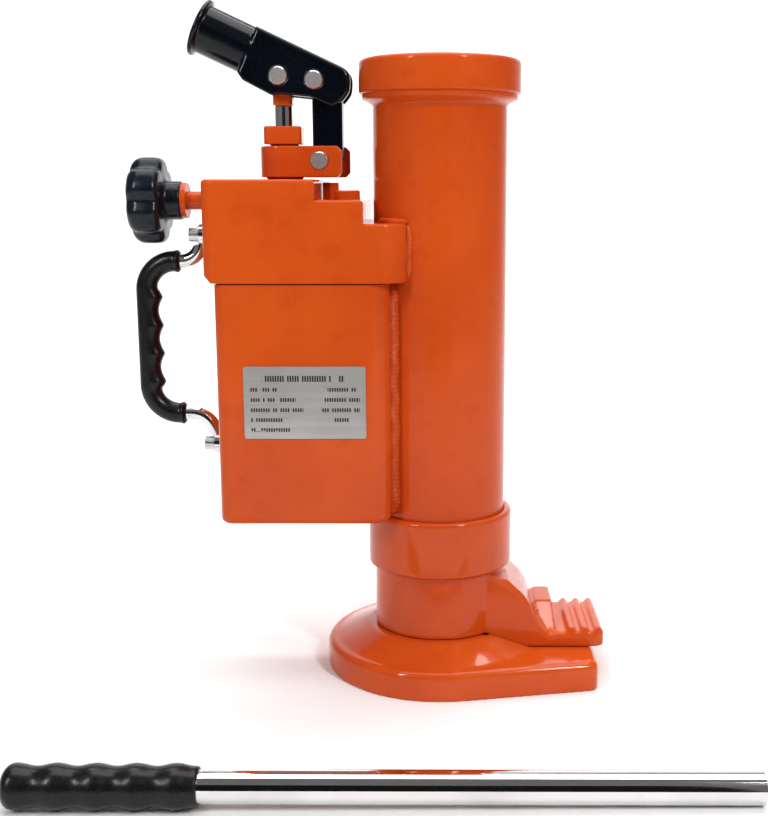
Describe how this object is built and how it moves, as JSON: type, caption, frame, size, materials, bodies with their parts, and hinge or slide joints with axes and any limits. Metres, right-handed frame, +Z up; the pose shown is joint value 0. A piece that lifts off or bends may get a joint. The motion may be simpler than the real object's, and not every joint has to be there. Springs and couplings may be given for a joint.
{
  "type": "hydraulic toe jack",
  "caption": "Hydraulic toe jack: the cylinder rises on a fixed ram with its claw, oil tank, hand pump and head cap; a pumping bar lies in front.",
  "frame": {"origin": "centre of the base underside, on the ram axis", "axes": "+Z up along the ram to the lifting head, +X towards the claw, -Y the side of the data plate"},
  "size_m": [0.4203, 0.3121, 0.4589],
  "materials": {
    "orange_paint": "thick gloss enamel over cast and welded steel",
    "ram_chrome": "ground hard chrome",
    "bar_chrome": "bright chrome plate",
    "handle_chrome": "bright chrome plate",
    "bolt_zinc": "bright zinc plate",
    "screw_black": "black oxide",
    "pin_steel": "ground, unpainted",
    "machined_steel": "turned",
    "ball_steel": "polished",
    "gland_bronze": "turned bronze",
    "seal_rubber": "moulded",
    "guide_plastic": "acetal",
    "gasket_fibre": "pressed fibre",
    "plate_aluminium": "brushed",
    "lever_black": "gloss black enamel",
    "knob_black": "moulded gloss black",
    "grip_black": "moulded gloss black"
  },
  "bodies": {
    "base": {"base_plate": "orange_paint", "ram": "ram_chrome", "ram_screw": "screw_black", "piston": "machined_steel", "piston_seal": "seal_rubber", "piston_guide_ring": "guide_plastic", "piston_nut": "machined_steel"},
    "lift_body": {"cylinder_tube": "orange_paint", "head_cap": "orange_paint", "head_seal": "seal_rubber", "claw_body": "orange_paint", "gland_bush": "gland_bronze", "gland_seal": "seal_rubber", "ram_wiper": "seal_rubber", "oil_tank": "orange_paint", "tank_gasket": "gasket_fibre", "tank_screws": "screw_black", "data_plate": "plate_aluminium", "suction_pipe": "machined_steel", "suction_strainer": "machined_steel", "pump_block": "orange_paint", "gallery_plugs": "screw_black", "filler_plug": "orange_paint", "delivery_plug": "orange_paint", "delivery_spring": "machined_steel", "safety_spring": "machined_steel", "safety_screw": "orange_paint", "pump_barrel": "orange_paint", "pump_packing": "seal_rubber", "gland_nut": "orange_paint", "link_pin": "pin_steel", "link_circlip": "screw_black", "release_bush": "gland_bronze", "spindle_seal": "seal_rubber", "carry_handle": "handle_chrome", "handle_grip": "grip_black", "handle_bolts": "bolt_zinc", "handle_washers": "bolt_zinc"},
    "release_spindle": {"release_spindle": "orange_paint", "release_ball": "ball_steel"},
    "release_knob": {"release_knob": "knob_black", "knob_insert": "machined_steel"},
    "link": {"link": "lever_black"},
    "pump_lever": {"pump_lever": "lever_black", "lever_pin": "pin_steel", "plunger_pin": "pin_steel", "lever_circlips": "screw_black"},
    "plunger": {"plunger_rod": "ram_chrome", "plunger_head": "orange_paint"},
    "suction_ball": {"suction_ball": "ball_steel"},
    "delivery_ball": {"delivery_ball": "ball_steel"},
    "safety_ball": {"safety_ball": "ball_steel"},
    "pump_bar": {"bar_tube": "bar_chrome", "bar_grip": "grip_black"}
  },
  "joints": [
    {"name": "lift", "type": "slide", "parent": "base", "child": "lift_body", "axis": [0, 0, 1], "range_m": [0, 0.23]},
    {"name": "spindle_screw", "type": "slide", "parent": "lift_body", "child": "release_spindle", "axis": [-1, 0, 0], "range_m": [0, 0.0023]},
    {"name": "release_turn", "type": "hinge", "parent": "release_spindle", "child": "release_knob", "pos_m": [-0.19, 0, 0.328], "axis": [-1, 0, 0], "range_deg": [0, 540]},
    {"name": "link_swing", "type": "hinge", "parent": "lift_body", "child": "link", "pos_m": [-0.0802, 0, 0.3543], "axis": [0, 1, 0], "range_deg": [-1.84, 1.71]},
    {"name": "lever_pump", "type": "hinge", "parent": "link", "child": "pump_lever", "pos_m": [-0.083, 0, 0.4064], "axis": [0, 1, 0], "range_deg": [-28, 30]},
    {"name": "plunger_stroke", "type": "slide", "parent": "lift_body", "child": "plunger", "axis": [0, 0, 1], "range_m": [-0.01092, 0.0117]},
    {"name": "suction_lift", "type": "slide", "parent": "lift_body", "child": "suction_ball", "axis": [0, 0, 1], "range_m": [0, 0.0015]},
    {"name": "delivery_lift", "type": "slide", "parent": "lift_body", "child": "delivery_ball", "axis": [0, 0, 1], "range_m": [0, 0.0015], "deforming": ["delivery_spring"]},
    {"name": "safety_lift", "type": "slide", "parent": "lift_body", "child": "safety_ball", "axis": [0, 0, 1], "range_m": [0, 0.0008], "deforming": ["safety_spring"]},
    {"name": "bar_lift_off", "type": "slide", "parent": "base", "child": "pump_bar", "axis": [0, 0, 1], "range_m": [0, 0.45]}
  ],
  "couplings": [
    {"joint": "spindle_screw", "follows": "release_turn", "m_per_rad": 0.00023873},
    {"joint": "link_swing", "follows": "lever_pump", "ratio": -0.06},
    {"joint": "plunger_stroke", "follows": "lever_pump", "m_per_rad": 0.0219}
  ]
}
